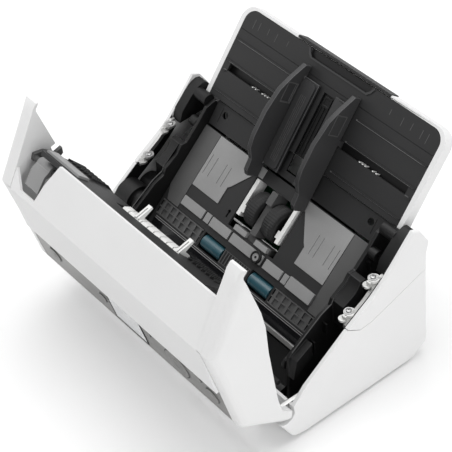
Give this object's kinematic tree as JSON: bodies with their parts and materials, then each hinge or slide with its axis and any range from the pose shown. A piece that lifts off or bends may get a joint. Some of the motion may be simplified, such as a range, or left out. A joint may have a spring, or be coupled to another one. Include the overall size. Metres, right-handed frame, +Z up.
{
  "type": "sheet fed document scanner",
  "caption": "Desktop sheet fed document scanner, front cover swung open over the rollers, with a sloping input tray, edge guides and a control panel.",
  "frame": {"origin": "centre of the footprint of the whole scanner, cover open, on the surface that it stands on", "axes": "+X to the right seen from the front, -Y towards the user, +Z up"},
  "size_m": [0.296, 0.2815, 0.2251],
  "materials": {
    "white_casing": "fine moulded texture",
    "black_chassis": "moulded",
    "charcoal_plastic": "fine moulded texture",
    "guide_plastic": "satin moulded",
    "light_grey_plastic": "smooth moulded",
    "mid_grey_plastic": "smooth moulded",
    "white_acetal": "smooth",
    "zinc_plate": "zinc plated",
    "screw_steel": "plated",
    "foot_rubber": "soft rubber",
    "circuit_board": "solder mask",
    "motor_can": "plated",
    "roller_rubber": "fine ribbed rubber",
    "teal_rubber": "smooth polyurethane",
    "shaft_steel": "ground",
    "scan_glass": "polished",
    "display_glass": "polished",
    "panel_plastic": "satin",
    "button_plastic": "satin"
  },
  "bodies": {
    "base": {"base_pan": "black_chassis", "bracket_screws": "screw_steel", "channel_insert": "black_chassis", "clamp_bar": "zinc_plate", "drive_housing": "black_chassis", "drive_motor": "motor_can", "entry_blocks": "light_grey_plastic", "entry_flap": "charcoal_plastic", "exit_ramp": "black_chassis", "front_fascia": "white_casing", "guide_plates": "light_grey_plastic", "hinge_lugs": "zinc_plate", "inner_wall_left": "black_chassis", "inner_wall_right": "black_chassis", "latch_plates": "zinc_plate", "lower_glass": "scan_glass", "main_board": "circuit_board", "path_floor": "charcoal_plastic", "rear_cover": "white_casing", "rib_grids": "mid_grey_plastic", "roller_arms": "white_acetal", "roller_web": "mid_grey_plastic", "rubber_feet": "foot_rubber", "sensor_unit": "black_chassis", "side_floors": "mid_grey_plastic", "side_panel_left": "white_casing", "side_panel_right": "white_casing", "side_trim_left": "white_casing", "side_trim_right": "white_casing", "tray_shell": "white_casing", "tray_sockets": "black_chassis", "tray_surface": "charcoal_plastic"},
    "cover": {"cover_shell": "white_casing", "cover_cheek_left": "white_casing", "cover_cheek_right": "white_casing", "cover_inner_frame": "charcoal_plastic", "upper_glass": "scan_glass", "guide_fingers": "white_acetal", "control_panel": "panel_plastic", "lcd_glass": "display_glass"},
    "latch": {"latch_shaft": "mid_grey_plastic", "release_lever": "mid_grey_plastic"},
    "separation": {"separation_roller": "roller_rubber"},
    "guide_left": {"edge_guide_left": "guide_plastic"},
    "guide_right": {"edge_guide_right": "guide_plastic"},
    "pinion": {"guide_pinion": "white_acetal"},
    "extension": {"tray_extension": "charcoal_plastic"},
    "drawer": {"output_tray": "charcoal_plastic"},
    "stopper": {"output_stopper": "white_casing"},
    "pickup": {"pickup_shaft": "black_chassis", "pickup_tyres": "roller_rubber"},
    "feed": {"feed_shaft": "shaft_steel", "feed_rollers": "teal_rubber"},
    "exit": {"exit_roller": "roller_rubber"},
    "power_button_body": {"power_button": "button_plastic"},
    "menu_button_body": {"menu_button": "button_plastic"},
    "select_button_body": {"select_button": "button_plastic"},
    "start_button_body": {"start_button": "button_plastic"},
    "stop_button_body": {"stop_button": "button_plastic"},
    "navigation_pad_body": {"navigation_pad": "button_plastic"}
  },
  "joints": [
    {"name": "cover_hinge", "type": "hinge", "parent": "base", "child": "cover", "pos_m": [0, -0.0697, 0.0364], "axis": [-1, 0, 0], "range_deg": [0, 60]},
    {"name": "latch_turn", "type": "hinge", "parent": "cover", "child": "latch", "pos_m": [0, -0.11317, 0.17431], "axis": [-1, 0, 0], "range_deg": [0, 16], "stiffness_Nm_per_rad": 0.15, "springref_deg": -11.46},
    {"name": "separation_turn", "type": "hinge", "parent": "cover", "child": "separation", "pos_m": [0, -0.07001, 0.10731], "axis": [1, 0, 0], "continuous": true},
    {"name": "guide_left_slide", "type": "slide", "parent": "base", "child": "guide_left", "axis": [-1, 0, 0], "range_m": [0, 0.074]},
    {"name": "guide_right_slide", "type": "slide", "parent": "base", "child": "guide_right", "axis": [1, 0, 0], "range_m": [0, 0.074]},
    {"name": "guide_pinion_turn", "type": "hinge", "parent": "base", "child": "pinion", "pos_m": [0, 0.09796, 0.16565], "axis": [0, -0.7944, 0.6074], "range_deg": [0, 1080]},
    {"name": "extension_slide", "type": "slide", "parent": "base", "child": "extension", "axis": [0, 0.6074, 0.7944], "range_m": [0, 0.07]},
    {"name": "output_tray_slide", "type": "slide", "parent": "base", "child": "drawer", "axis": [0, -1, 0], "range_m": [0, 0.09]},
    {"name": "output_stopper_turn", "type": "hinge", "parent": "drawer", "child": "stopper", "pos_m": [0, -0.062, 0.0086], "axis": [1, 0, 0], "range_deg": [0, 60]},
    {"name": "pickup_turn", "type": "hinge", "parent": "base", "child": "pickup", "pos_m": [0, 0.04155, 0.09212], "axis": [1, 0, 0], "continuous": true},
    {"name": "feed_turn", "type": "hinge", "parent": "base", "child": "feed", "pos_m": [0, 0.00172, 0.05709], "axis": [1, 0, 0], "continuous": true},
    {"name": "exit_turn", "type": "hinge", "parent": "base", "child": "exit", "pos_m": [0, -0.047, 0.0312], "axis": [1, 0, 0], "continuous": true},
    {"name": "power_button_press", "type": "slide", "parent": "cover", "child": "power_button_body", "axis": [0, 0.9707, 0.2402], "range_m": [0, 0.0008], "stiffness_N_per_m": 300, "springref_m": -0.0006},
    {"name": "menu_button_press", "type": "slide", "parent": "cover", "child": "menu_button_body", "axis": [0, 0.9707, 0.2402], "range_m": [0, 0.0008], "stiffness_N_per_m": 300, "springref_m": -0.0006},
    {"name": "select_button_press", "type": "slide", "parent": "cover", "child": "select_button_body", "axis": [0, 0.9707, 0.2402], "range_m": [0, 0.0008], "stiffness_N_per_m": 300, "springref_m": -0.0006},
    {"name": "start_button_press", "type": "slide", "parent": "cover", "child": "start_button_body", "axis": [0, 0.9707, 0.2402], "range_m": [0, 0.0008], "stiffness_N_per_m": 300, "springref_m": -0.0006},
    {"name": "stop_button_press", "type": "slide", "parent": "cover", "child": "stop_button_body", "axis": [0, 0.9707, 0.2402], "range_m": [0, 0.0008], "stiffness_N_per_m": 300, "springref_m": -0.0006},
    {"name": "navigation_pad_press", "type": "slide", "parent": "cover", "child": "navigation_pad_body", "axis": [0, 0.9707, 0.2402], "range_m": [0, 0.0008], "stiffness_N_per_m": 300, "springref_m": -0.0006}
  ],
  "couplings": [
    {"joint": "guide_right_slide", "follows": "guide_left_slide", "ratio": 1},
    {"joint": "guide_pinion_turn", "follows": "guide_left_slide", "rad_per_m": 250},
    {"joint": "pickup_turn", "follows": "feed_turn", "ratio": 0.4118},
    {"joint": "exit_turn", "follows": "feed_turn", "ratio": 1.1667}
  ]
}
